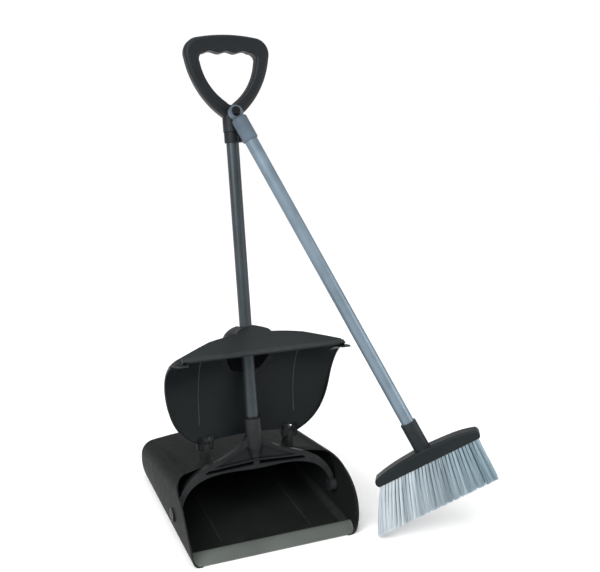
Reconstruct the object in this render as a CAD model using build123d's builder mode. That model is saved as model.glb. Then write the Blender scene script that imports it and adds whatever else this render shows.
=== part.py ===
"""Upright dust pan with a hinged lid, and the lobby broom that hangs on its handle.

Frame: millimetres, +Z up, +X to the user's right when facing the open mouth, +Y to the rear.
The origin is the centre of the pan's flat base, on the floor.
"""
import os
from math import atan2, cos, radians, sin

from build123d import *

os.makedirs("parts", exist_ok=True)

# ---- pan body ----
lip_y = -190.0            # front edge of the mouth
rear_y = 190.0            # rear face
floor_half = 160.0        # half width at floor level
belly_half = 170.0        # half width where the sides bulge most
wall = 2.6
crown_front = 156.0       # height of the arched top, run forward to the lip
crown_rear = 92.0
corner_radius = 16.0

# ---- mouth, seen from the side: a round cheek that runs into a straight slope ----
cheek_top = (lip_y + 66.0, 102.0)
slope_end = (lip_y + 172.0, 137.5)

# ---- handle pivot and lid hinge ----
pivot_y, pivot_z = lip_y + 110.0, 51.0
recline = 12.8            # the tube leans back by this much at rest
hinge_y, hinge_z = lip_y + 170.0, 150.0
lid_open_angle = 111.8    # hinge-to-brim line above +Y, lid open
lid_swing = 106.3
pin_radius = 4.0
running_gap = 0.06

# ---- tube and grip ----
tube_radius = 12.0
tube_wall = 1.2
socket_top = 159.0        # along the tube, from the pivot
tube_foot = 118.0
grip_top = 889.0
peg_station = 743.0
peg_reach = 28.0

# ---- broom ----
broom_tube_radius = 12.5
broom_lean = 22.3         # to the right, about the peg
peg_rise = 25.2           # the peg points up by this much
head_turn = 34.2          # the head is screwed on turned by this much
block_half = 105.0
block_depth = 18.0        # half thickness
block_foot = 748.0        # from the peg to the underside of the block
bristle_length = 85.0


def turn_yz(vector, angle):
    """A (y, z) pair turned about +X."""
    a = radians(angle)
    return (vector[0] * cos(a) - vector[1] * sin(a), vector[0] * sin(a) + vector[1] * cos(a))


# ---- working planes ----
tube_dir = Vector(0, sin(radians(recline)), cos(radians(recline)))
pivot = Vector(0, pivot_y, pivot_z)
tube_plane = Plane(origin=pivot, x_dir=(1, 0, 0), z_dir=tube_dir)
handle_plane = Plane(origin=pivot, x_dir=(1, 0, 0), z_dir=(0, -tube_dir.Z, tube_dir.Y))

peg_axis = Vector(0, -cos(radians(peg_rise)), sin(radians(peg_rise)))
peg_point = pivot + tube_dir * peg_station + Vector(0, -tube_dir.Z, tube_dir.Y) * peg_reach
hang_down = Vector(0, -sin(radians(peg_rise)), -cos(radians(peg_rise)))
broom_dir = Vector(1, 0, 0) * sin(radians(broom_lean)) + hang_down * cos(radians(broom_lean))
broom_plane = Plane(origin=peg_point, x_dir=peg_axis.cross(broom_dir), z_dir=broom_dir)
head_x = broom_plane.x_dir * cos(radians(head_turn)) + peg_axis * sin(radians(head_turn))
head_y = broom_dir.cross(head_x)
head_plane = Plane(origin=peg_point, x_dir=head_x, z_dir=head_y * -1)

hinge = Vector(0, hinge_y, hinge_z)
lid_u = Vector(0, *turn_yz((1, 0), lid_open_angle))
lid_back = Vector(1, 0, 0).cross(lid_u) * -1


def lid_section(u):
    """Plane across the lid at distance u from its hinge: local x is X, local y points out of the dome."""
    return Plane(origin=hinge + lid_u * u, x_dir=(1, 0, 0), z_dir=lid_u)


def side_plane(x):
    """Plane parallel to YZ at x, local x along +Y and local y along +Z."""
    return Plane(origin=(x, 0, 0), x_dir=(0, 1, 0), z_dir=(1, 0, 0))


def save(part, name):
    """Label a finished piece and write its STEP file."""
    part.label = name
    export_step(part, f"parts/{name}.step")


# ======================= dust box =======================
def box_section(plane, crown, inset, foot):
    """Arched cross-section of the box: flat floor at height foot, bulging sides, crowned top."""
    top_corner = crown - 14.0 - inset
    side = belly_half - 5.0 - inset
    with BuildSketch(plane) as section:
        with BuildLine():
            Line((-floor_half + inset, foot), (floor_half - inset, foot))
            ThreePointArc((floor_half - inset, foot), (belly_half - inset, 0.42 * crown), (side, top_corner))
            ThreePointArc((side, top_corner), (0, crown - inset), (-side, top_corner))
            ThreePointArc((-side, top_corner), (-belly_half + inset, 0.42 * crown), (-floor_half + inset, foot))
        make_face()
        fillet(section.vertices().group_by(Axis.Y)[-1], 30.0 - inset)
        fillet(section.vertices().group_by(Axis.Y)[0], corner_radius - inset)
    return section.sketch


def box_solid(front, rear, inset, foot):
    """Loft of the box between two stations along Y, with its rear edges rounded."""
    def crown(y):
        return crown_front + (crown_rear - crown_front) * (y - lip_y) / (rear_y - lip_y)

    with BuildPart() as solid:
        for y in (front, rear):
            plane = Plane(origin=(0, y, 0), x_dir=(1, 0, 0), z_dir=(0, -1, 0))
            add(box_section(plane, crown(y), inset, foot))
        loft()
        fillet(solid.faces().sort_by(Axis.Y)[-1].edges(), corner_radius - inset - 2)
    return solid.part


def mouth_profile(gap, back):
    """Closed outline of everything in front of the mouth, kept gap clear of it."""
    slope = atan2(slope_end[1] - cheek_top[1], slope_end[0] - cheek_top[0])
    shift = (-sin(slope) * gap, cos(slope) * gap)
    start = (cheek_top[0] + shift[0], cheek_top[1] + shift[1])
    finish = (slope_end[0] + shift[0] + 60 * cos(slope), slope_end[1] + shift[1] + 60 * sin(slope))
    foot = (lip_y - gap, 0.0)
    with BuildLine() as outline:
        Line(finish, start)
        TangentArc(start, foot, tangent=(-cos(slope), -sin(slope)))
        if back:
            Polyline(foot, (foot[0], -60), (finish[0], -60), finish)
        else:
            Polyline(foot, (foot[0], -60), (foot[0] - 150, -60), (foot[0] - 150, finish[1]), finish)
    return outline.wires()[0]


base_trim = 0.6           # the blank reaches this far below the floor and is cut off flat
outer_box = box_solid(lip_y, rear_y, 0.0, -base_trim)
inner_box = box_solid(lip_y - 1, rear_y - wall, wall, wall)
strip_notch = 14.0        # the floor stops this far behind the lip, under the rubber
lug_x = 87.0
lug_half = 5.6
lug_radius = 8.5
boss_inner = 164.0
floor_rib_x = 90.0

with BuildPart() as mouth_front:
    with BuildSketch(side_plane(-250)):
        add(make_face(mouth_profile(0.0, back=False)))
    extrude(amount=500)

with BuildPart() as lug_blank:
    for side in (-1, 1):
        with BuildSketch(side_plane(side * lug_x - lug_half)):
            with Locations((hinge_y, hinge_z)):
                Circle(lug_radius)
            with BuildLine():
                Polyline(
                    (hinge_y - 8.0, hinge_z + 3),
                    (hinge_y - 14, 118),
                    (hinge_y + 26, 118),
                    (hinge_y + 8.0, hinge_z + 3),
                    close=True,
                )
            make_face()
        extrude(amount=2 * lug_half)
    add(inner_box, mode=Mode.SUBTRACT)

with BuildPart() as dust_box:
    add(outer_box)
    for side in (-1, 1):
        with BuildSketch(side_plane(side * (belly_half + 0.8) - 4 + side * -4)):
            with Locations((pivot_y, pivot_z)):
                Circle(14)
        extrude(amount=8)
    add(inner_box, mode=Mode.SUBTRACT)
    add(mouth_front.part, mode=Mode.SUBTRACT)
    add(lug_blank.part)
    for side in (-1, 1):
        with BuildSketch(side_plane(side * (boss_inner + 2.5) - 2.5)):
            with Locations((pivot_y, pivot_z)):
                Circle(11)
        extrude(amount=5)
        with BuildSketch(Plane.XY.offset(wall)):
            with Locations((side * floor_rib_x, 20)):
                Rectangle(3, 300)
        extrude(amount=1.2)
    with BuildSketch(Plane.XY.offset(-1)):
        with Locations((0, lip_y + strip_notch / 2 - 1)):
            Rectangle(2 * floor_half - 32, strip_notch + 2)
    extrude(amount=8, mode=Mode.SUBTRACT)
    with BuildSketch(side_plane(-200)):
        with Locations((pivot_y, pivot_z)):
            Circle(5 + running_gap)
    extrude(amount=400, mode=Mode.SUBTRACT)
    with BuildSketch(side_plane(-110)):
        with Locations((hinge_y, hinge_z)):
            Circle(pin_radius + running_gap)
    extrude(amount=220, mode=Mode.SUBTRACT)
    with BuildSketch(Plane.XY):
        Rectangle(3 * belly_half, 3 * rear_y)
    extrude(amount=-5, mode=Mode.SUBTRACT)
save(dust_box.part, "dust_box")


# ======================= rubber lip =======================
lip_depth = 36.0
lip_height = 15.0

with BuildPart() as lip_strip:
    with BuildSketch(side_plane(-belly_half)):
        with BuildLine():
            Line((lip_y + 2.5, 0.3), (lip_y + lip_depth, 0.3))
            Line((lip_y + lip_depth, 0.3), (lip_y + lip_depth, 4.5))
            Spline((lip_y + lip_depth, 4.5), (lip_y + 28, lip_height), (lip_y + 12, 10.5), (lip_y, 3.0))
            Line((lip_y, 3.0), (lip_y + 2.5, 0.3))
        make_face()
    extrude(amount=2 * belly_half)
    add(outer_box, mode=Mode.INTERSECT)
    add(dust_box.part, mode=Mode.SUBTRACT)
save(lip_strip.part, "lip_strip")


# ======================= pivot pins =======================
for side, name in ((-1, "left_pivot_pin"), (1, "right_pivot_pin")):
    outer_face = belly_half + 0.8
    with BuildPart() as pivot_pin:
        with BuildSketch(side_plane(side * 150.0)):
            with Locations((pivot_y, pivot_z)):
                Circle(5)
        extrude(amount=side * (outer_face - 150.0))
        with BuildSketch(side_plane(side * outer_face)):
            with Locations((pivot_y, pivot_z)):
                Circle(12)
            for step in (-7, 0, 7):
                with Locations((pivot_y, pivot_z + step)):
                    SlotOverall(9, 3.6, mode=Mode.SUBTRACT)
        extrude(amount=side * 2.4)
        with BuildSketch(side_plane(side * outer_face)):
            with Locations((pivot_y, pivot_z)):
                Circle(11)
        extrude(amount=side * 0.8)
    save(pivot_pin.part, name)


# ======================= lid =======================
lid_stations = (
    # u, half width, side height, crease half width, crease height, crown height
    (10.0, 97.0, 0.0, 60.0, 7.0, 10.0),
    (60.0, 153.0, 17.0, 88.0, 36.0, 42.0),
    (115.0, 168.0, 35.0, 98.0, 56.0, 66.0),
    (185.0, 170.0, 30.0, 98.0, 56.0, 66.0),
    (244.0, 151.0, -2.0, 92.0, 35.0, 56.0),
)
bump_stations = (
    # u, half width, height
    (94.0, 26.0, 26.0),
    (135.0, 44.0, 90.0),
    (165.0, 54.0, 120.0),
    (190.0, 56.0, 122.0),
    (212.0, 50.0, 98.0),
    (244.0, 38.0, 84.0),
)
brim_u = 237.0
skirt_v = -14.0           # the lid's open side, below the hinge line
lid_gap = 2.0
slot_half = 14.0
slot_low, slot_high = 182.5, 222.0    # the slot in the bulge runs between these distances
wall_top = 85.5           # the end wall is cut down to this height under the tube
brim_half = 157.0
brim_depth = 11.0         # height of the thickened brim
brim_lip = 2.0            # and how far it stands out
lug_notch = 18.0          # the lid is cut back this far around each hinge lug


def lid_dome(inset, skirt):
    """Solid of the lid's dome, drawn in by inset, with its open side at depth skirt."""
    with BuildPart() as dome:
        for u, half, side_v, crease_x, crease_v, crown_v in lid_stations:
            with BuildSketch(lid_section(u)):
                with BuildLine():
                    Polyline(
                        (-crease_x, crease_v - inset),
                        (-half + inset, side_v - 0.6 * inset),
                        (-half + inset, skirt),
                        (half - inset, skirt),
                        (half - inset, side_v - 0.6 * inset),
                        (crease_x, crease_v - inset),
                    )
                    ThreePointArc((crease_x, crease_v - inset), (0, crown_v - inset), (-crease_x, crease_v - inset))
                make_face()
        loft()
    return dome.part


def lid_bump(inset):
    """Solid of the bulge that makes room for the tube and its socket."""
    with BuildPart() as bump:
        for u, half, height in bump_stations:
            with BuildSketch(lid_section(u)):
                with BuildLine():
                    Line((-half + inset, 20), (half - inset, 20))
                    Line((half - inset, 20), (0.78 * half - inset, 0.8 * height))
                    ThreePointArc(
                        (0.78 * half - inset, 0.8 * height),
                        (0, height - inset),
                        (-0.78 * half + inset, 0.8 * height),
                    )
                    Line((-0.78 * half + inset, 0.8 * height), (-half + inset, 20))
                make_face()
        loft()
    return bump.part


hinge_axis = Axis((0, hinge_y, hinge_z), (1, 0, 0))

with BuildPart() as box_side:
    with BuildSketch(side_plane(-250)):
        add(make_face(mouth_profile(lid_gap, back=True)))
    extrude(amount=500)
open_box_side = box_side.part.rotate(hinge_axis, -lid_swing)


def beyond_brim(inset):
    """Everything past the lid's end wall, which leans back a little."""
    with BuildPart() as beyond:
        with BuildSketch(side_plane(-250)):
            with BuildLine():
                near = hinge + lid_u * (brim_u - inset + 0.14 * 20) - lid_back * 20
                far = hinge + lid_u * (brim_u - inset - 0.14 * 160) + lid_back * 160
                Polyline(
                    (near.Y, near.Z),
                    (far.Y, far.Z),
                    ((far + lid_u * 90).Y, (far + lid_u * 90).Z),
                    ((near + lid_u * 90).Y, (near + lid_u * 90).Z),
                    close=True,
                )
            make_face()
        extrude(amount=500)
    return beyond.part


with BuildPart() as lid_outside:
    add(lid_dome(0.0, skirt_v))
    add(lid_bump(0.0))
    add(beyond_brim(0.0), mode=Mode.SUBTRACT)

with BuildPart() as lid_inside:
    add(lid_dome(wall, skirt_v - 1.0))
    add(lid_bump(wall))
    add(beyond_brim(wall), mode=Mode.SUBTRACT)

ear_inner = 148.0
knuckle_inner = 73.0
knuckle_outer = 101.0

with BuildPart() as ear_band:
    with BuildSketch(side_plane(-175)):
        add(make_face(mouth_profile(lid_gap, back=False)))
        add(make_face(mouth_profile(lid_gap + 3.0, back=False)), mode=Mode.SUBTRACT)
    extrude(amount=350)
open_band = ear_band.part.rotate(hinge_axis, -lid_swing)

with BuildPart() as ears:
    for side in (-1, 1):
        with BuildSketch(Plane(origin=hinge - lid_back * 40, x_dir=(1, 0, 0), z_dir=lid_back)):
            with BuildLine():
                Polyline(
                    (side * ear_inner, -brim_u),
                    (side * 165, -brim_u),
                    (side * 174, -brim_u + 26),
                    (side * 165, -brim_u + 42),
                    (side * ear_inner, -brim_u + 42),
                    close=True,
                )
            make_face()
        extrude(amount=120)
    add(open_band, mode=Mode.INTERSECT)

with BuildPart() as lid:
    add(lid_outside.part)
    add(lid_inside.part, mode=Mode.SUBTRACT)
    with BuildSketch(Plane(origin=hinge + lid_back * 75, x_dir=(1, 0, 0), z_dir=lid_back)):
        with Locations((0, -slot_low)):
            Circle(slot_half)
        with Locations((0, -(slot_low + slot_high) / 2)):
            Rectangle(2 * slot_half, slot_high - slot_low)
    extrude(amount=60, mode=Mode.SUBTRACT)
    with BuildSketch(lid_section(slot_high)):
        with Locations((0, wall_top + 10)):
            Rectangle(2 * slot_half, 20)
    extrude(amount=20, mode=Mode.SUBTRACT)
    with BuildSketch(side_plane(-brim_half)):
        with BuildLine():
            brim_points = []
            for across, out in ((-1.5, 0), (brim_lip, 0), (brim_lip, brim_depth), (-1.5, brim_depth)):
                v = skirt_v + out
                brim_points.append(hinge + lid_u * (brim_u - 0.14 * v + across) + lid_back * v)
            Polyline(*[(point.Y, point.Z) for point in brim_points], close=True)
        make_face()
    extrude(amount=2 * brim_half)
    add(open_box_side, mode=Mode.SUBTRACT)
    with BuildSketch(lid_section(0)):
        with Locations((-lug_x, 0), (lug_x, 0)):
            Rectangle(2 * lug_half + 1.4, 40)
    extrude(amount=lug_notch, mode=Mode.SUBTRACT)
    add(ears.part)
    for side in (-1, 1):
        for near, far in ((knuckle_inner, lug_x - lug_half - 0.7), (lug_x + lug_half + 0.7, knuckle_outer)):
            with BuildSketch(side_plane(side * (near + far) / 2 - (far - near) / 2)):
                with Locations((hinge_y, hinge_z)):
                    Circle(8)
                knuckle_web = hinge + lid_u * 22
                with BuildLine():
                    Polyline(
                        (hinge_y - 8, hinge_z),
                        ((knuckle_web - lid_back * 5).Y, (knuckle_web - lid_back * 5).Z),
                        ((knuckle_web + lid_back * 5).Y, (knuckle_web + lid_back * 5).Z),
                        (hinge_y + 7, hinge_z + 4),
                        close=True,
                    )
                make_face()
            extrude(amount=far - near)
    with BuildSketch(side_plane(-110)):
        with Locations((hinge_y, hinge_z)):
            Circle(pin_radius + running_gap)
    extrude(amount=220, mode=Mode.SUBTRACT)
save(lid.part, "lid")

for side, name in ((-1, "left_hinge_pin"), (1, "right_hinge_pin")):
    with BuildPart() as hinge_pin:
        with BuildSketch(side_plane(side * (knuckle_inner - 0.5))):
            with Locations((hinge_y, hinge_z)):
                Circle(pin_radius)
        extrude(amount=side * (knuckle_outer - knuckle_inner + 1.5))
        with BuildSketch(side_plane(side * (knuckle_outer + 0.8))):
            with Locations((hinge_y, hinge_z)):
                Circle(6.5)
        extrude(amount=side * 2.6)
        fillet(hinge_pin.faces().filter_by(GeomType.PLANE).sort_by(Axis.X)[-1 if side > 0 else 0].edges(), 1.2)
    save(hinge_pin.part, name)


# ======================= yoke =======================
yoke_half = 7.0           # half thickness along the handle's front-to-back direction
eye_inner, eye_outer = 152.5, 163.4
eye_radius = 13.0
arm_inner, arm_outer = 153.4, 162.4
neck_radius = 16.0
screw_station = 140.0

with BuildPart() as yoke:
    with BuildSketch(handle_plane.offset(-yoke_half)):
        with BuildLine():
            Spline((-arm_outer, 0), (-157, 28), (-132, 62), (-90, 83), (-40, 103), (-14.5, 128))
            Line((-14.5, 128), (14.5, 128))
            Spline((14.5, 128), (40, 103), (90, 83), (132, 62), (157, 28), (arm_outer, 0))
            Line((arm_outer, 0), (arm_inner, 0))
            Spline((arm_inner, 0), (147, 24), (128, 46), (104, 57), (0, 61), (-104, 57), (-128, 46), (-147, 24),
                   (-arm_inner, 0))
            Line((-arm_inner, 0), (-arm_outer, 0))
        make_face()
    extrude(amount=2 * yoke_half)
    for side in (-1, 1):
        with BuildSketch(handle_plane.offset(-yoke_half - 1)):
            with BuildLine():
                Polyline((side * 6, 69), (side * 100, 65), (side * 104, 67), (side * 96, 71), (side * 6, 76), close=True)
            make_face()
        extrude(amount=2 * yoke_half + 2, mode=Mode.SUBTRACT)
        with BuildSketch(handle_plane.offset(yoke_half - 4)):
            with BuildLine():
                Polyline((side * 5, 80), (side * 84, 75), (side * 36, 94), (side * 5, 112), close=True)
            make_face()
        extrude(amount=6, mode=Mode.SUBTRACT)
        with BuildSketch(side_plane(side * (eye_inner + eye_outer) / 2 - (eye_outer - eye_inner) / 2)):
            with Locations((pivot_y, pivot_z)):
                Circle(eye_radius)
        extrude(amount=eye_outer - eye_inner)
    with BuildSketch(tube_plane.offset(84)):
        Circle(12)
    with BuildSketch(tube_plane.offset(104)):
        Circle(neck_radius)
    loft()
    with BuildSketch(tube_plane.offset(104)):
        Circle(neck_radius)
    extrude(amount=socket_top - 104)
    with BuildSketch(tube_plane.offset(tube_foot)):
        Circle(tube_radius + 0.05)
    extrude(amount=60, mode=Mode.SUBTRACT)
    with BuildSketch(handle_plane.offset(-30)):
        with Locations((0, screw_station)):
            Circle(2.55)
    extrude(amount=30, mode=Mode.SUBTRACT)
    with BuildSketch(side_plane(-200)):
        with Locations((pivot_y, pivot_z)):
            Circle(5 + running_gap)
    extrude(amount=400, mode=Mode.SUBTRACT)
save(yoke.part, "yoke")

with BuildPart() as socket_ring:
    with BuildSketch(tube_plane.offset(socket_top)):
        Circle(15.4)
        Circle(tube_radius + 0.05, mode=Mode.SUBTRACT)
    extrude(amount=3.5)
    fillet(socket_ring.edges().filter_by(GeomType.CIRCLE).group_by(SortBy.RADIUS)[-1], 1.0)
save(socket_ring.part, "socket_ring")

with BuildPart() as yoke_screw:
    with BuildSketch(handle_plane.offset(-neck_radius - 2.4)):
        with Locations((0, screw_station)):
            Circle(4.5)
            RegularPolygon(1.6, 6, mode=Mode.SUBTRACT)
    extrude(amount=2.4)
    with BuildSketch(handle_plane.offset(-neck_radius)):
        with Locations((0, screw_station)):
            Circle(2.5)
    extrude(amount=9)
save(yoke_screw.part, "yoke_screw")


# ======================= pan tube =======================
tube_end = 752.0
grip_screw_station = 722.0

with BuildPart() as pan_tube:
    with BuildSketch(tube_plane.offset(tube_foot + 0.2)):
        Circle(tube_radius)
        Circle(tube_radius - tube_wall, mode=Mode.SUBTRACT)
    extrude(amount=tube_end - tube_foot)
    for station in (screw_station, grip_screw_station):
        with BuildSketch(handle_plane.offset(-30)):
            with Locations((0, station)):
                Circle(2.55)
        extrude(amount=30, mode=Mode.SUBTRACT)
save(pan_tube.part, "pan_tube")


# ======================= D-grip =======================
grip_half = 13.0

with BuildPart() as d_grip:
    with BuildSketch(handle_plane.offset(-grip_half)):
        with BuildLine():
            ThreePointArc((-15, 736), (-56, 779), (-82, 846))
            ThreePointArc((-82, 846), (-78, 871), (-56, 884))
            ThreePointArc((-56, 884), (0, grip_top), (56, 884))
            ThreePointArc((56, 884), (78, 871), (82, 846))
            ThreePointArc((82, 846), (56, 779), (15, 736))
            Line((15, 736), (-15, 736))
        make_face()
        with BuildLine():
            ThreePointArc((-8, 763), (-35, 789), (-55, 838))
            ThreePointArc((-55, 838), (-53.5, 850), (-43, 855))
            Spline((-43, 855), (-30, 858), (-14.5, 854.5), (0, 858), (14.5, 854.5), (30, 858), (43, 855))
            ThreePointArc((43, 855), (53.5, 850), (55, 838))
            ThreePointArc((55, 838), (35, 789), (8, 763))
            ThreePointArc((8, 763), (0, 758.5), (-8, 763))
        make_face(mode=Mode.SUBTRACT)
    extrude(amount=2 * grip_half)
    grip_normal = Axis(pivot, (0, -tube_dir.Z, tube_dir.Y))
    for pick in (-1, 0):
        fillet(d_grip.faces().sort_by(grip_normal)[pick].outer_wire().edges(), 8.0)
    for pick in (-1, 0):
        fillet(d_grip.faces().sort_by(grip_normal)[pick].inner_wires()[0].edges(), 6.0)
    with BuildSketch(tube_plane.offset(708.5)):
        Circle(neck_radius)
    extrude(amount=40)
    with BuildSketch(Plane(origin=peg_point - peg_axis * 20, z_dir=peg_axis)):
        Circle(9)
    extrude(amount=13)
    with BuildSketch(tube_plane.offset(700)):
        Circle(tube_radius + 0.05)
    extrude(amount=tube_end + 1 - 700, mode=Mode.SUBTRACT)
    with BuildSketch(Plane(origin=peg_point - peg_axis * 14, z_dir=peg_axis)):
        Circle(3.05)
    extrude(amount=13, mode=Mode.SUBTRACT)
    with BuildSketch(handle_plane.offset(-30)):
        with Locations((0, grip_screw_station)):
            Circle(2.55)
    extrude(amount=30, mode=Mode.SUBTRACT)
save(d_grip.part, "d_grip")

with BuildPart() as grip_screw:
    with BuildSketch(handle_plane.offset(-neck_radius - 2.4)):
        with Locations((0, grip_screw_station)):
            Circle(4.5)
            RegularPolygon(1.6, 6, mode=Mode.SUBTRACT)
    extrude(amount=2.4)
    with BuildSketch(handle_plane.offset(-neck_radius)):
        with Locations((0, grip_screw_station)):
            Circle(2.5)
    extrude(amount=9)
save(grip_screw.part, "grip_screw")

with BuildPart() as grip_collar:
    with BuildSketch(tube_plane.offset(688)):
        Circle(15)
        Circle(tube_radius + 0.05, mode=Mode.SUBTRACT)
    extrude(amount=20)
    fillet(grip_collar.edges().filter_by(GeomType.CIRCLE).group_by(SortBy.RADIUS)[-1], 1.2)
save(grip_collar.part, "grip_collar")

with BuildPart() as tube_clip:
    with BuildSketch(tube_plane.offset(689)):
        with Locations((22, 0)):
            RectangleRounded(17, 16, 3)
        Circle(15.05, mode=Mode.SUBTRACT)
    extrude(amount=18)
    with BuildSketch(tube_plane.offset(680)):
        with Locations((33, -1)):
            Circle(6)
    extrude(amount=40, mode=Mode.SUBTRACT)
save(tube_clip.part, "tube_clip")

with BuildPart() as hanger_peg:
    with BuildSketch(Plane(origin=peg_point - peg_axis * 13.8, z_dir=peg_axis)):
        Circle(3)
    extrude(amount=7.3)
    with BuildSketch(Plane(origin=peg_point - peg_axis * 6.9, z_dir=peg_axis)):
        Circle(5)
    extrude(amount=12)
    with BuildSketch(Plane(origin=peg_point + peg_axis * 5, z_dir=peg_axis)):
        Circle(8)
    extrude(amount=3.5)
    fillet(hanger_peg.edges().sort_by(Axis(peg_point, peg_axis))[-1], 1.5)
save(hanger_peg.part, "hanger_peg")


# ======================= broom cap and tube =======================
cap_top, cap_end = 13.0, 60.0
cap_radius = 15.0
hole_radius = 7.5
hole_drop = hole_radius - 5.0 - 0.3
tongue_half = 3.0
broom_tube_top = 21.0
broom_tube_end = 665.0
tongue_plane = Plane(origin=peg_point - peg_axis * tongue_half, x_dir=broom_plane.x_dir, z_dir=peg_axis)

with BuildPart() as hanger_cap:
    with BuildSketch(broom_plane.offset(cap_top)):
        Circle(cap_radius)
    extrude(amount=cap_end - cap_top)
    fillet(hanger_cap.edges().sort_by(Axis(peg_point, broom_dir))[0], 4.0)
    with BuildSketch(tongue_plane):
        with Locations((0, -hole_drop)):
            Circle(14.0)
        with Locations((0, -hole_drop - 10)):
            Rectangle(22, 22)
    extrude(amount=2 * tongue_half)
    with BuildSketch(tongue_plane):
        with Locations((0, -hole_drop)):
            Circle(hole_radius)
    extrude(amount=2 * tongue_half, mode=Mode.SUBTRACT)
    with BuildSketch(broom_plane.offset(broom_tube_top)):
        Circle(broom_tube_radius + 0.05)
    extrude(amount=60, mode=Mode.SUBTRACT)
save(hanger_cap.part, "hanger_cap")

with BuildPart() as broom_tube:
    with BuildSketch(broom_plane.offset(broom_tube_top + 0.2)):
        Circle(broom_tube_radius)
        Circle(broom_tube_radius - tube_wall, mode=Mode.SUBTRACT)
    extrude(amount=broom_tube_end - broom_tube_top - 0.2)
save(broom_tube.part, "broom_tube")

plug_length = 30.0        # inside the tube
thread_length = 24.0

with BuildPart() as threaded_plug:
    with BuildSketch(broom_plane.offset(broom_tube_end - plug_length)):
        Circle(broom_tube_radius - tube_wall - 0.05)
    extrude(amount=plug_length)
    with BuildSketch(broom_plane.offset(broom_tube_end)):
        Circle(9.4)
    extrude(amount=thread_length)
    for turn in range(5):
        with BuildSketch(broom_plane.offset(broom_tube_end + 2 + 4.4 * turn)):
            Circle(10.3)
        extrude(amount=2)
save(threaded_plug.part, "threaded_plug")


# ======================= broom head =======================
with BuildPart() as broom_block:
    with BuildSketch(head_plane.offset(-block_depth)):
        with BuildLine():
            Spline((-block_half, 732), (-70, 725), (-28, 721), (0, 720), (28, 721), (70, 724), (block_half, 732))
            ThreePointArc((block_half, 732), (block_half + 4, 740), (block_half, block_foot))
            Line((block_half, block_foot), (-block_half, block_foot))
            ThreePointArc((-block_half, block_foot), (-block_half - 4, 740), (-block_half, 732))
        make_face()
    extrude(amount=2 * block_depth)
    fillet(broom_block.faces().sort_by(Axis(peg_point, head_y))[-1].edges(), 4.0)
    fillet(broom_block.faces().sort_by(Axis(peg_point, head_y))[0].edges(), 4.0)
    with BuildSketch(broom_plane.offset(broom_tube_end + 0.2)):
        Circle(15.5)
    with BuildSketch(broom_plane.offset(716)):
        Circle(15.5)
    with BuildSketch(broom_plane.offset(727)):
        Circle(18)
    loft(ruled=True)
    with BuildSketch(broom_plane.offset(broom_tube_end)):
        Circle(10.4)
    extrude(amount=thread_length + 4, mode=Mode.SUBTRACT)
save(broom_block.part, "broom_block")

row_pitch = 9.0
row_thickness = 5.0
for row in range(4):
    offset_row = (row - 1.5) * row_pitch
    with BuildPart() as bristle_row:
        with BuildSketch(head_plane.offset(offset_row - row_thickness / 2)):
            with BuildLine():
                Polyline(
                    (-100, block_foot + 0.1),
                    (-155, block_foot + bristle_length),
                    (98, block_foot + bristle_length),
                    (100, block_foot + 0.1),
                    close=True,
                )
            make_face()
        extrude(amount=row_thickness)
    save(bristle_row.part, f"bristle_row_{row + 1}")
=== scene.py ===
import math
import random

import bmesh
import bpy
from mathutils import Matrix, Vector
from mathutils.bvhtree import BVHTree


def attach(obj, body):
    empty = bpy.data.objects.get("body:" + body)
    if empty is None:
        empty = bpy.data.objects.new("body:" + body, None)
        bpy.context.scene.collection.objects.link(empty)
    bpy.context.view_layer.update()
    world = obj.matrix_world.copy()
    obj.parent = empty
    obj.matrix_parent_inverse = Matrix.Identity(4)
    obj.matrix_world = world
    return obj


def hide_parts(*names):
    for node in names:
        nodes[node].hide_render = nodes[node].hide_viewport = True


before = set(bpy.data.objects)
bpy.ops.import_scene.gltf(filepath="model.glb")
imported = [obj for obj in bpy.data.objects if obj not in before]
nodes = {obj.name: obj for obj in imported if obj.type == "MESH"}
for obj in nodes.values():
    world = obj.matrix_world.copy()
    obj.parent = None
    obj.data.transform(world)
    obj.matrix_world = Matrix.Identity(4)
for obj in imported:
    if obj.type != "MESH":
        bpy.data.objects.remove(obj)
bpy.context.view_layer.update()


# ---------------------------------------------------------------------------
# Dust box. One injection moulding in dark grey polypropylene: flat floor,
# bulging sides, crowned top and two hinge lugs. The mould leaves a fine even
# grain, and the edges go paler where the pan knocks against skirting.
# ---------------------------------------------------------------------------
DRIFT_SCALE, SCRATCH_SCALE = 9.0, 60.0
DRIFT_BAND = (0.3, 0.7)             # the part of the noise that carries the drift in tone
RUBBED_EDGE = (0.52, 0.62)          # pointiness at which wear starts and is full
GRAIN_HEIGHT = 0.0004
MIX_FACTOR, MIX_A, MIX_B, MIX_RESULT = 0, 6, 7, 2      # colour sockets of a Mix node
WELD = 0.00002


def noise(tree, place, scale, detail):
    """Noise laid on the piece's own coordinates."""
    texture = tree.nodes.new("ShaderNodeTexNoise")
    texture.inputs["Scale"].default_value = scale
    texture.inputs["Detail"].default_value = detail
    tree.links.new(place.outputs["Object"], texture.inputs["Vector"])
    return texture.outputs["Fac"]


def drifting_tone(tree, source, colour, darkest, lightest):
    """The colour, drifting between two multiples of itself."""
    ramp = tree.nodes.new("ShaderNodeValToRGB")
    for element, position, factor in zip(ramp.color_ramp.elements, DRIFT_BAND, (darkest, lightest)):
        element.position = position
        element.color = [min(1.0, c * factor) for c in colour] + [1.0]
    tree.links.new(source, ramp.inputs["Fac"])
    return ramp.outputs["Color"]


def spread(tree, source, low, high, start=0.0, end=1.0):
    """Map start to end of a value onto low to high."""
    scale = tree.nodes.new("ShaderNodeMapRange")
    scale.inputs["From Min"].default_value = start
    scale.inputs["From Max"].default_value = end
    scale.inputs["To Min"].default_value = low
    scale.inputs["To Max"].default_value = high
    tree.links.new(source, scale.inputs["Value"])
    return scale.outputs["Result"]


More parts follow.
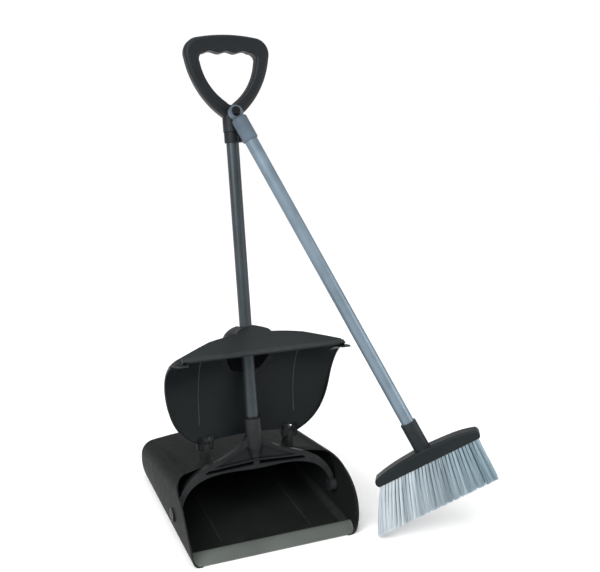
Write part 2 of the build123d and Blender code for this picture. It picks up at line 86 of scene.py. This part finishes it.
def surface_relief(tree, source, strength, height):
    """Raise the surface by a fine texture and feed it to the shader."""
    relief = tree.nodes.new("ShaderNodeBump")
    relief.inputs["Strength"].default_value = strength
    relief.inputs["Distance"].default_value = height
    tree.links.new(source, relief.inputs["Height"])
    tree.links.new(relief.outputs["Normal"], tree.nodes["Principled BSDF"].inputs["Normal"])


def moulded_plastic(name, colour, roughness, grain=900.0, depth=0.25, scuff=0.5, shine=0.12):
    """Grained moulding: slow colour drift, fine mould grain, pale scuffs along the edges."""
    material = bpy.data.materials.new(name)
    material.use_nodes = True
    tree = material.node_tree
    shader = tree.nodes["Principled BSDF"]
    shader.inputs["Specular IOR Level"].default_value = shine
    place = tree.nodes.new("ShaderNodeTexCoord")
    drift = noise(tree, place, DRIFT_SCALE, 5.0)
    shade = drifting_tone(tree, drift, colour, 0.82, 1.18)

    scratches = noise(tree, place, SCRATCH_SCALE, 7.0)
    edge = tree.nodes.new("ShaderNodeNewGeometry")
    rub = spread(tree, edge.outputs["Pointiness"], 0.0, scuff, *RUBBED_EDGE)
    patchy = tree.nodes.new("ShaderNodeMath")
    patchy.operation = "MULTIPLY"
    tree.links.new(rub, patchy.inputs[0])
    tree.links.new(scratches, patchy.inputs[1])
    worn = tree.nodes.new("ShaderNodeMix")
    worn.data_type = "RGBA"
    worn.inputs[MIX_B].default_value = [min(1.0, c * 3.0 + 0.03) for c in colour] + [1.0]
    tree.links.new(patchy.outputs["Value"], worn.inputs[MIX_FACTOR])
    tree.links.new(shade, worn.inputs[MIX_A])
    tree.links.new(worn.outputs[MIX_RESULT], shader.inputs["Base Color"])

    matt = spread(tree, scratches, roughness - 0.08, roughness + 0.10)
    tree.links.new(matt, shader.inputs["Roughness"])
    surface_relief(tree, noise(tree, place, grain, 3.0), depth, GRAIN_HEIGHT)
    return material


def dress(node, material):
    """Give a carried-over piece its finish."""
    nodes[node].data.materials.clear()
    nodes[node].data.materials.append(material)


def smooth_copy(node, name, body, material, crease=30.0):
    """The piece's own shape with welded, smooth faces. It stands for that piece."""
    mesh = nodes[node].data.copy()
    mesh.name = name
    piece = bpy.data.objects.new(name, mesh)
    bpy.context.scene.collection.objects.link(piece)
    welded = bmesh.new()
    welded.from_mesh(mesh)
    bmesh.ops.remove_doubles(welded, verts=welded.verts, dist=WELD)
    for face in welded.faces:
        face.smooth = True
    for edge in welded.edges:
        if len(edge.link_faces) == 2:
            edge.smooth = edge.calc_face_angle(0.0) < math.radians(crease)
    welded.to_mesh(mesh)
    welded.free()
    mesh.materials.clear()
    mesh.materials.append(material)
    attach(piece, body)
    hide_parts(node)
    return piece


box_plastic = moulded_plastic("box_plastic", (0.0088, 0.0100, 0.0096), 0.52, shine=0.05)
smooth_copy("dust_box", "dust_box_shell", "pan", box_plastic)

# ---------------------------------------------------------------------------
# Lid. A thinner moulding of the same plastic, slightly glossier than the box. Its
# bulge has the slot for the tube, two fine beads stiffen its back, and it
# turns on two black pins.
# ---------------------------------------------------------------------------
BEAD_X = 0.098                   # from the middle of the lid
BEAD_LOW, BEAD_HIGH = 0.195, 0.335
BEAD_WIDTH, BEAD_STAND = 0.0022, 0.0009
BEAD_CREST = 0.6                 # width of the crest, as a share of the foot
BEAD_SINK = 0.0004               # the foot is moulded into the lid's face
BEAD_CUTS = 15
IN_FRONT = -0.4                  # a y from which the lid's inside is seen

lid_plastic = moulded_plastic(
    "lid_plastic", (0.0080, 0.0105, 0.0115), 0.38, grain=500.0, depth=0.12, shine=0.11
)
smooth_copy("lid", "lid_shell", "lid", lid_plastic, crease=14.0)
# The beads are coloured paler than the lid around them, though moulded in the same plastic: a
# painted highlight along each bead.
bead_painted_highlight = moulded_plastic(
    "bead_painted_highlight", (0.030, 0.036, 0.038), 0.4, grain=500.0, depth=0.12, scuff=0.2
)
inside_mesh = bmesh.new()
inside_mesh.from_mesh(nodes["lid"].data)
inside = BVHTree.FromBMesh(inside_mesh)
inside_mesh.free()
for side, name in ((-1.0, "left_lid_bead"), (1.0, "right_lid_bead")):
    bead = bmesh.new()
    bmesh.ops.create_cube(bead, size=1.0)
    upright = [e for e in bead.edges if abs(e.verts[0].co.z - e.verts[1].co.z) > 0.5]
    bmesh.ops.subdivide_edges(bead, edges=upright, cuts=BEAD_CUTS)
    for vert in bead.verts:
        across, out, height = vert.co
        crest = out < 0.0
        stand = BEAD_STAND * (1.0 - abs(2.0 * height) ** 6)
        x = side * BEAD_X + across * BEAD_WIDTH * (BEAD_CREST if crest else 1.0)
        z = BEAD_LOW + (BEAD_HIGH - BEAD_LOW) * (height + 0.5)
        face_y = inside.ray_cast(Vector((x, IN_FRONT, z)), Vector((0.0, 1.0, 0.0)))[0].y
        vert.co = Vector((x, face_y - stand if crest else face_y + BEAD_SINK, z))
    bead_mesh = bpy.data.meshes.new(name)
    bmesh.ops.recalc_face_normals(bead, faces=bead.faces)
    bead.to_mesh(bead_mesh)
    bead.free()
    bead_mesh.materials.append(bead_painted_highlight)
    lid_bead = bpy.data.objects.new(name, bead_mesh)
    bpy.context.scene.collection.objects.link(lid_bead)
    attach(lid_bead, "lid")

pin_plastic = moulded_plastic("pin_plastic", (0.008, 0.0085, 0.009), 0.34, depth=0.08)
for pin in ("left_hinge_pin", "right_hinge_pin", "left_pivot_pin", "right_pivot_pin"):
    dress(pin, pin_plastic)

# ---------------------------------------------------------------------------
# Lip. A soft grey rubber extrusion pressed under and over the floor's front
# edge, rubbed paler along its crest by hard floors.
# ---------------------------------------------------------------------------
lip_rubber = moulded_plastic(
    "lip_rubber", (0.088, 0.099, 0.090), 0.6, grain=350.0, depth=0.2, scuff=0.7
)
smooth_copy("lip_strip", "lip_rubber_strip", "pan", lip_rubber)

# ---------------------------------------------------------------------------
# Yoke. A ribbed arch moulding with an eye on each pivot pin and a socket for
# the tube, closed by a black ring and held by one zinc-plated screw.
# ---------------------------------------------------------------------------
COAT_DRIFT_SCALE, PEEL_SCALE = 22.0, 650.0
PEEL_STRENGTH, PEEL_HEIGHT = 0.12, 0.0003


def coated_metal(name, colour, metallic, roughness, shine=0.5):
    """Coated steel: fine orange peel and a little drift in colour and gloss."""
    material = bpy.data.materials.new(name)
    material.use_nodes = True
    tree = material.node_tree
    shader = tree.nodes["Principled BSDF"]
    shader.inputs["Metallic"].default_value = metallic
    shader.inputs["Specular IOR Level"].default_value = shine
    place = tree.nodes.new("ShaderNodeTexCoord")
    drift = noise(tree, place, COAT_DRIFT_SCALE, 6.0)
    tree.links.new(drifting_tone(tree, drift, colour, 0.86, 1.12), shader.inputs["Base Color"])
    matt = spread(tree, drift, roughness - 0.06, roughness + 0.10)
    tree.links.new(matt, shader.inputs["Roughness"])
    surface_relief(tree, noise(tree, place, PEEL_SCALE, 2.0), PEEL_STRENGTH, PEEL_HEIGHT)
    return material


yoke_plastic = moulded_plastic(
    "yoke_plastic", (0.0085, 0.0100, 0.0108), 0.38, grain=600.0, depth=0.12, shine=0.14
)
smooth_copy("yoke", "yoke_arch", "handle", yoke_plastic)
dress("socket_ring", pin_plastic)
zinc = coated_metal("zinc", (0.55, 0.55, 0.53), 1.0, 0.3)
dress("yoke_screw", zinc)

# ---------------------------------------------------------------------------
# Pan tube. Thin steel tube in a dark grey powder coat, pushed into the yoke's
# socket and into the neck of the grip.
# ---------------------------------------------------------------------------
dark_coat = coated_metal("dark_coat", (0.036, 0.046, 0.053), 0.35, 0.33, shine=0.4)
smooth_copy("pan_tube", "pan_tube_coated", "handle", dark_coat, crease=50.0)

# ---------------------------------------------------------------------------
# D-grip. Black moulding with a coarse spark-eroded grain for the hand, a
# collar and clip below it on the tube, and the peg the broom hangs from.
# ---------------------------------------------------------------------------
grip_plastic = moulded_plastic(
    "grip_plastic", (0.0085, 0.0110, 0.0130), 0.42, grain=1300.0, depth=0.6, shine=0.2
)
smooth_copy("d_grip", "grip_handle", "handle", grip_plastic)
for node in ("grip_collar", "tube_clip"):
    dress(node, grip_plastic)
dress("grip_screw", zinc)
dress("hanger_peg", pin_plastic)

# ---------------------------------------------------------------------------
# Broom tube and cap. Steel tube in a silvery blue-grey coat, with a moulded
# grey cap whose flat tongue has the hanging hole.
# ---------------------------------------------------------------------------
pale_coat = coated_metal("pale_coat", (0.150, 0.200, 0.245), 0.35, 0.36, shine=0.4)
smooth_copy("broom_tube", "broom_tube_coated", "broom", pale_coat, crease=50.0)
cap_plastic = moulded_plastic(
    "cap_plastic", (0.062, 0.084, 0.105), 0.42, grain=700.0, depth=0.12, scuff=0.4
)
smooth_copy("hanger_cap", "broom_cap", "broom", cap_plastic)

# ---------------------------------------------------------------------------
# Broom block. Black moulding with the threaded socket; the plug that screws
# into it is fixed in the end of the tube.
# ---------------------------------------------------------------------------
block_plastic = moulded_plastic(
    "block_plastic", (0.0095, 0.0135, 0.0150), 0.42, grain=800.0, depth=0.2
)
smooth_copy("broom_block", "broom_head_block", "broom", block_plastic)
dress("threaded_plug", pin_plastic)

# ---------------------------------------------------------------------------
# Bristles. Four rows of 30 tufts of crimped polyester filament, stapled in
# the block and fanned to the left by use. The filaments taper, and their
# cut ends are slightly uneven.
# ---------------------------------------------------------------------------
HANDLE_PIVOT = Vector((0.0, -0.080, 0.051))
PEG_STATION, PEG_REACH = 0.743, 0.028        # along the pan's tube, and out from it
rise, lean, head_turn, recline = (math.radians(a) for a in (25.2, 22.3, 34.2, 12.8))
tube_dir = Vector((0.0, math.sin(recline), math.cos(recline)))
tube_front = Vector((0.0, -math.cos(recline), math.sin(recline)))
peg_point = HANDLE_PIVOT + tube_dir * PEG_STATION + tube_front * PEG_REACH
peg_axis = Vector((0.0, -math.cos(rise), math.sin(rise)))
hang_down = Vector((0.0, -math.sin(rise), -math.cos(rise)))
head_down = Vector((1.0, 0.0, 0.0)) * math.sin(lean) + hang_down * math.cos(lean)
head_across = peg_axis.cross(head_down) * math.cos(head_turn) + peg_axis * math.sin(head_turn)
head_normal = head_across.cross(head_down)

ROWS = 4
ROW_PITCH = 0.009
TUFTS = 30
FILAMENTS = 62                   # in one tuft
VARIANTS = 5
ROOT_Y, TIP_Y = 0.7481, 0.833    # from the peg
ROOT_SINK = 0.004                # the roots start inside the block
ROOT_SPAN = (-0.1030, 0.1025)
TIP_SPAN = (-0.1555, 0.0985)
TUFT_ROOT = 0.0022
TUFT_TIP = (0.0052, 0.0031)      # half spread at the tips, along and across the row
TIP_SCATTER = 0.0012
FILAMENT_RADIUS = 0.00042
TAPER = 0.35                     # of the radius, lost from root to tip
BOW = 0.9                        # below 1, the tufts lean out more near the block
# From here to the right the tufts turn darker and bluer: painted shade across the head.
PAINTED_SHADE_FROM, PAINTED_SHADE_WIDTH = -0.125, 0.2
FLOAT_LAYERS = ("tone", "along", "side_x", "side_y")
PALE_TONES = ((0.40, 0.45, 0.49, 1.0), (0.82, 0.87, 0.90, 1.0))
PAINTED_SHADE_TONES = ((0.13, 0.19, 0.23, 1.0), (0.42, 0.54, 0.60, 1.0))
DUST_SCALE = 120.0


def plain_filament():
    """A three-sided prism of unit radius, z from 0 to 1, in three lengths so that it can bend."""
    prism = bmesh.new()
    for layer in FLOAT_LAYERS:
        prism.verts.layers.float.new(layer)
    bmesh.ops.create_cone(
        prism, segments=3, radius1=1.0, radius2=1.0, depth=1.0, cap_ends=True
    )
    upright = [e for e in prism.edges if abs(e.verts[0].co.z - e.verts[1].co.z) > 0.5]
    bmesh.ops.subdivide_edges(prism, edges=upright, cuts=2)
    bmesh.ops.translate(prism, verts=prism.verts, vec=(0.0, 0.0, 0.5))
    mesh = bpy.data.meshes.new("plain_filament")
    prism.to_mesh(mesh)
    prism.free()
    return mesh


def filament_bundle(seed):
    """One straight tuft of unit height: x and y run from -1 to 1 across it, z from 0 to 1."""
    chance = random.Random(seed)
    bundle = bmesh.new()
    for _ in range(FILAMENTS):
        first = len(bundle.verts)
        bundle.from_mesh(filament)
        bundle.verts.ensure_lookup_table()
        floats = bundle.verts.layers.float
        tone, side_x, side_y = (floats[layer] for layer in ("tone", "side_x", "side_y"))
        angle = chance.uniform(0.0, 2.0 * math.pi)
        reach = math.sqrt(chance.uniform(0.0, 1.0))
        centre = Vector((reach * math.cos(angle), reach * math.sin(angle)))
        length = chance.uniform(0.965, 1.0)
        crimp = chance.uniform(-0.06, 0.06)
        shade = chance.uniform(0.0, 1.0)
        for vert in bundle.verts[first:]:
            height = vert.co.z * length
            swell = crimp * math.sin(height * 7.0)
            vert[tone], vert[side_x], vert[side_y] = shade, vert.co.x, vert.co.y
            vert.co = Vector((centre.x + swell, centre.y, height))
    mesh = bpy.data.meshes.new(f"filament_bundle_{seed}")
    bundle.to_mesh(mesh)
    bundle.free()
    return mesh


def bristle_material():
    """Pale filament with its own tone for each filament, turning darker and bluer to the right as
    painted shade.
    """
    material = bpy.data.materials.new("bristle_fibre")
    material.use_nodes = True
    tree = material.node_tree
    shader = tree.nodes["Principled BSDF"]
    shader.inputs["Specular IOR Level"].default_value = 0.3
    tone, along = (tree.nodes.new("ShaderNodeAttribute") for _ in range(2))
    tone.attribute_name, along.attribute_name = "tone", "along"
    # Mix from the pale tones into the darker blue tones of the painted shade.
    across = tree.nodes.new("ShaderNodeMix")
    across.data_type = "RGBA"
    tree.links.new(along.outputs["Fac"], across.inputs[MIX_FACTOR])
    for socket, tones in ((MIX_A, PALE_TONES), (MIX_B, PAINTED_SHADE_TONES)):
        ramp = tree.nodes.new("ShaderNodeValToRGB")
        for element, colour in zip(ramp.color_ramp.elements, tones):
            element.color = colour
        tree.links.new(tone.outputs["Fac"], ramp.inputs["Fac"])
        tree.links.new(ramp.outputs["Color"], across.inputs[socket])
    tree.links.new(across.outputs[MIX_RESULT], shader.inputs["Base Color"])
    place = tree.nodes.new("ShaderNodeTexCoord")
    dust = spread(tree, noise(tree, place, DUST_SCALE, 2.0), 0.40, 0.56)
    tree.links.new(dust, shader.inputs["Roughness"])
    return material


fibre = bristle_material()
filament = plain_filament()
bundles = [filament_bundle(seed) for seed in range(VARIANTS)]
for row in range(ROWS):
    chance = random.Random(100 + row)
    row_centre = (row - (ROWS - 1) / 2) * ROW_PITCH
    row_mesh = bmesh.new()
    for tuft in range(TUFTS):
        share = (tuft + 0.5) / TUFTS
        root_x = ROOT_SPAN[0] + (ROOT_SPAN[1] - ROOT_SPAN[0]) * share
        tip_x = TIP_SPAN[0] + (TIP_SPAN[1] - TIP_SPAN[0]) * share
        tip_x += chance.uniform(-TIP_SCATTER, TIP_SCATTER)
        clump = chance.uniform(0.72, 1.0)
        shade = chance.uniform(-0.25, 0.25)
        first = len(row_mesh.verts)
        row_mesh.from_mesh(bundles[chance.randrange(VARIANTS)])
        row_mesh.verts.ensure_lookup_table()
        tone, along, side_x, side_y = (row_mesh.verts.layers.float[name] for name in FLOAT_LAYERS)
        for vert in row_mesh.verts[first:]:
            x, y, height = vert.co
            spread_x = TUFT_ROOT + (TUFT_TIP[0] * clump - TUFT_ROOT) * height
            spread_y = TUFT_ROOT + (TUFT_TIP[1] * clump - TUFT_ROOT) * height
            taper = FILAMENT_RADIUS * (1.0 - TAPER * height)
            place_x = root_x + (tip_x - root_x) * height ** BOW + x * spread_x
            place_y = row_centre + y * spread_y
            # How far into the painted shade on the right this filament lies.
            vert[along] = min(1.0, max(0.0, (place_x - PAINTED_SHADE_FROM) / PAINTED_SHADE_WIDTH))
            vert[tone] = min(1.0, max(0.0, vert[tone] * 0.6 + 0.2 + shade))
            depth = ROOT_Y - ROOT_SINK + (TIP_Y - ROOT_Y + ROOT_SINK) * height
            vert.co = (
                peg_point
                + head_across * (place_x + vert[side_x] * taper)
                - head_normal * (place_y + vert[side_y] * taper)
                + head_down * depth
            )
    name = f"bristle_tufts_{row + 1}"
    mesh = bpy.data.meshes.new(name)
    bmesh.ops.recalc_face_normals(row_mesh, faces=row_mesh.faces)
    row_mesh.to_mesh(mesh)
    row_mesh.free()
    mesh.materials.append(fibre)
    tufts = bpy.data.objects.new(name, mesh)
    bpy.context.scene.collection.objects.link(tufts)
    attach(tufts, "broom")
    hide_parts(f"bristle_row_{row + 1}")

# ---------------------------------------------------------------------------
# Floor, light and camera. A white paper floor under three soft boxes and one
# broad soft light. The walls of the room are seen whiter than they shine.
# ---------------------------------------------------------------------------
PAPER_WHITE = (0.95, 0.95, 0.95, 1.0)
SOFT_BOXES = (
    # name, place, aimed at, size, watts
    ("key_light", (-1.9, -1.1, 1.5), (0.0, 0.0, 0.3), 1.2, 24.0),
    ("fill_light", (2.0, -1.4, 1.2), (0.0, 0.0, 0.3), 1.2, 20.0),
    ("top_light", (0.4, 1.2, 2.6), (0.0, 0.0, 0.2), 1.6, 9.0),
)
WALLS_SHINE, WALLS_SEEN = 0.5, 1.05
CAMERA_PLACE = (-0.525, -1.487, 0.905)
LENS, SENSOR = 51.54, 36.0

floor_mesh = bpy.data.meshes.new("studio_floor")
floor_plan = bmesh.new()
bmesh.ops.create_grid(floor_plan, x_segments=1, y_segments=1, size=14.0)
floor_plan.to_mesh(floor_mesh)
floor_plan.free()
studio_floor = bpy.data.objects.new("studio_floor", floor_mesh)
bpy.context.scene.collection.objects.link(studio_floor)
paper = bpy.data.materials.new("pale_paper")
paper.use_nodes = True
paper_shader = paper.node_tree.nodes["Principled BSDF"]
paper_shader.inputs["Base Color"].default_value = PAPER_WHITE
paper_shader.inputs["Roughness"].default_value = 0.95
paper_shader.inputs["Specular IOR Level"].default_value = 0.1
floor_mesh.materials.append(paper)

for name, lamp_place, target, size, watts in SOFT_BOXES:
    light = bpy.data.lights.new(name, "AREA")
    light.shape = "SQUARE"
    light.size = size
    light.energy = watts
    lamp = bpy.data.objects.new(name, light)
    bpy.context.scene.collection.objects.link(lamp)
    lamp.location = lamp_place
    aim = Vector(target) - Vector(lamp_place)
    lamp.rotation_euler = aim.to_track_quat("-Z", "Y").to_euler()

daylight = bpy.data.lights.new("broad_light", "SUN")
daylight.energy = 2.35
daylight.angle = math.radians(60.0)
broad_light = bpy.data.objects.new("broad_light", daylight)
bpy.context.scene.collection.objects.link(broad_light)
broad_light.rotation_euler = (math.radians(28.0), math.radians(-30.0), 0.0)

world = bpy.data.worlds.new("studio")
world.use_nodes = True
walls = world.node_tree.nodes["Background"]
walls.inputs["Color"].default_value = (1.0, 1.0, 1.0, 1.0)
seen = world.node_tree.nodes.new("ShaderNodeLightPath")
strength = spread(world.node_tree, seen.outputs["Is Camera Ray"], WALLS_SHINE, WALLS_SEEN)
world.node_tree.links.new(strength, walls.inputs["Strength"])
bpy.context.scene.world = world
bpy.context.scene.view_settings.view_transform = "Standard"

camera_data = bpy.data.cameras.new("catalogue_camera")
camera_data.sensor_width = SENSOR
camera_data.lens = LENS
camera = bpy.data.objects.new("catalogue_camera", camera_data)
bpy.context.scene.collection.objects.link(camera)
turn, tilt, roll = (math.radians(a) for a in (23.26, 15.73, 1.18))
camera.matrix_world = (
    Matrix.Translation(CAMERA_PLACE)
    @ Matrix.Rotation(-turn, 4, "Z")
    @ Matrix.Rotation(math.pi / 2 - tilt, 4, "X")
    @ Matrix.Rotation(roll, 4, "Z")
)
bpy.context.scene.camera = camera
